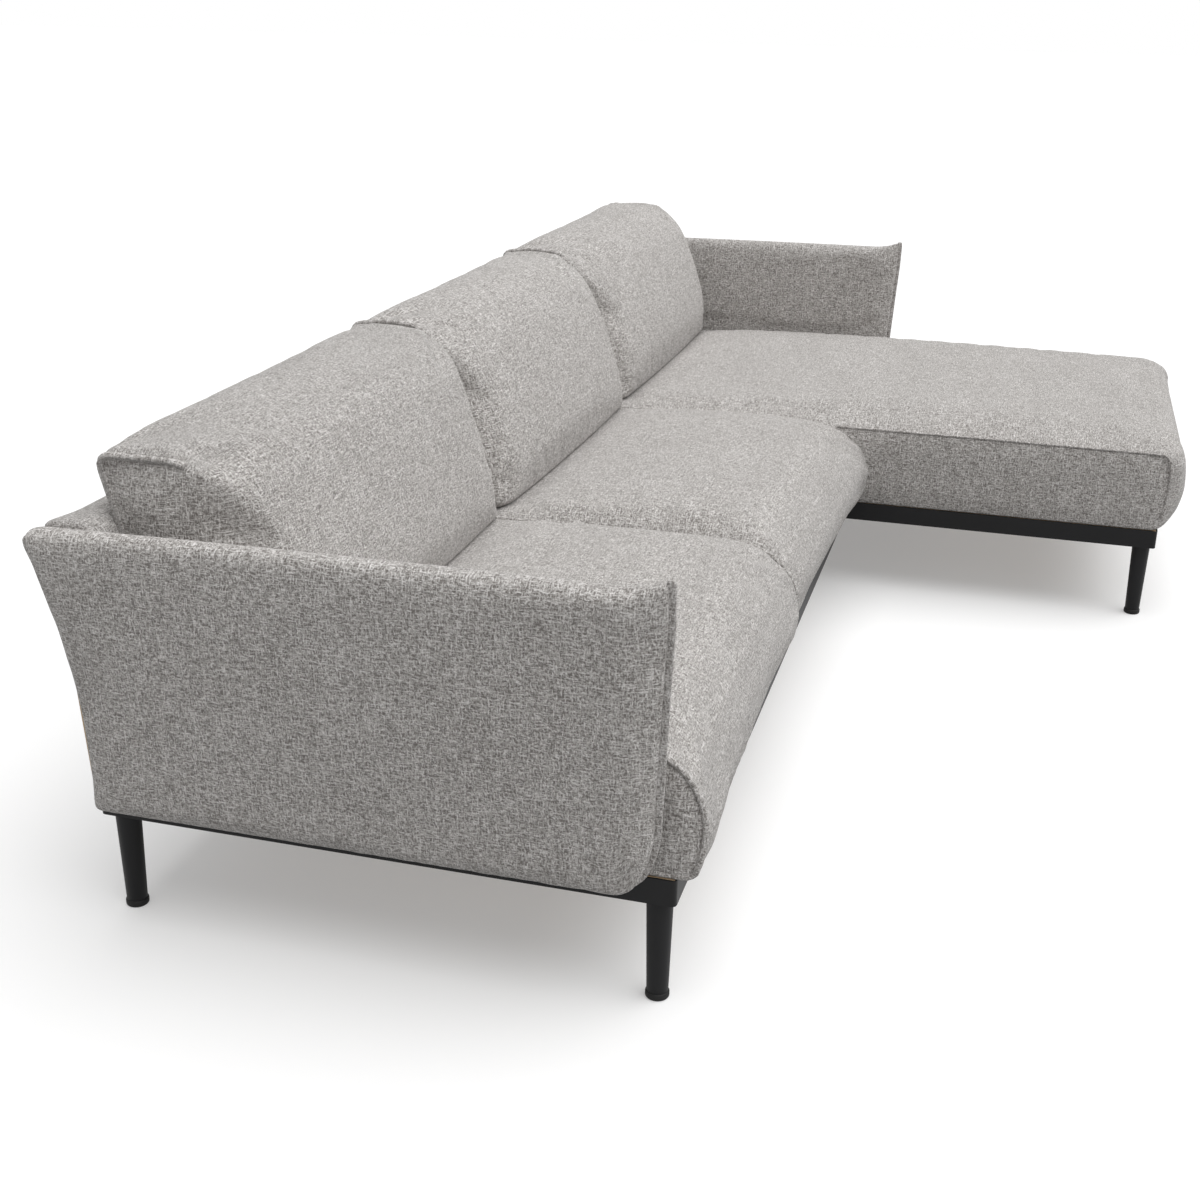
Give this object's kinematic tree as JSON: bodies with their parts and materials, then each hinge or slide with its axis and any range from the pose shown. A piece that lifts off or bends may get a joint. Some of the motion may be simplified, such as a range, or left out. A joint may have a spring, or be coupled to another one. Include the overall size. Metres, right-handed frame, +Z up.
{
  "type": "sectional sofa with chaise",
  "caption": "Low sectional sofa with a chaise: slim flared arms, loose wedge back cushions, bolster-fronted seats and a slim steel base on tapered legs.",
  "frame": {"origin": "on the floor under the middle of the whole sofa's bounding box", "axes": "+X along the sofa towards the chaise, +Y towards the back, +Z up; a sitter faces -Y"},
  "size_m": [2.7708, 1.6391, 0.7459],
  "materials": {
    "linen_weave": "matt woven linen blend, warm light grey",
    "black_steel": "satin black powder coat",
    "glide_rubber": "matt black",
    "zinc_steel": "bright zinc plate",
    "plywood": "raw birch plywood"
  },
  "bodies": {
    "sofa": {"sofa_front_rail": "black_steel", "sofa_back_rail": "black_steel", "sofa_side_rail": "black_steel", "sofa_joint_rail": "black_steel", "chaise_front_rail": "black_steel", "chaise_back_rail": "black_steel", "chaise_inner_rail": "black_steel", "chaise_outer_rail": "black_steel", "sofa_middle_rail": "black_steel", "chaise_middle_rail": "black_steel", "sofa_front_leg": "black_steel", "sofa_back_leg": "black_steel", "sofa_middle_leg": "black_steel", "chaise_inner_front_leg": "black_steel", "chaise_outer_front_leg": "black_steel", "chaise_inner_back_leg": "black_steel", "chaise_outer_back_leg": "black_steel", "sofa_glides": "glide_rubber", "chaise_glides": "glide_rubber", "leg_bolts": "zinc_steel", "joint_bolts": "zinc_steel", "arm_brackets": "zinc_steel", "back_brackets": "zinc_steel", "sofa_deck": "plywood", "chaise_deck": "plywood", "sofa_arm_board": "plywood", "chaise_arm_board": "plywood", "sofa_back_board": "plywood", "chaise_back_board": "plywood", "sofa_arm": "linen_weave", "chaise_arm": "linen_weave", "sofa_back": "linen_weave", "chaise_back": "linen_weave", "near_seat_cushion": "linen_weave", "middle_seat_cushion": "linen_weave", "chaise_cushion": "linen_weave"},
    "near_back_cushion_body": {"near_back_cushion": "linen_weave"},
    "middle_back_cushion_body": {"middle_back_cushion": "linen_weave"},
    "chaise_back_cushion_body": {"chaise_back_cushion": "linen_weave"}
  },
  "joints": [
    {"name": "near_back_cushion_lift", "type": "slide", "parent": "sofa", "child": "near_back_cushion_body", "axis": [0, 0, 1], "range_m": [0, 0.27]},
    {"name": "middle_back_cushion_lift", "type": "slide", "parent": "sofa", "child": "middle_back_cushion_body", "axis": [0, 0, 1], "range_m": [0, 0.27]},
    {"name": "chaise_back_cushion_lift", "type": "slide", "parent": "sofa", "child": "chaise_back_cushion_body", "axis": [0, 0, 1], "range_m": [0, 0.27]}
  ]
}
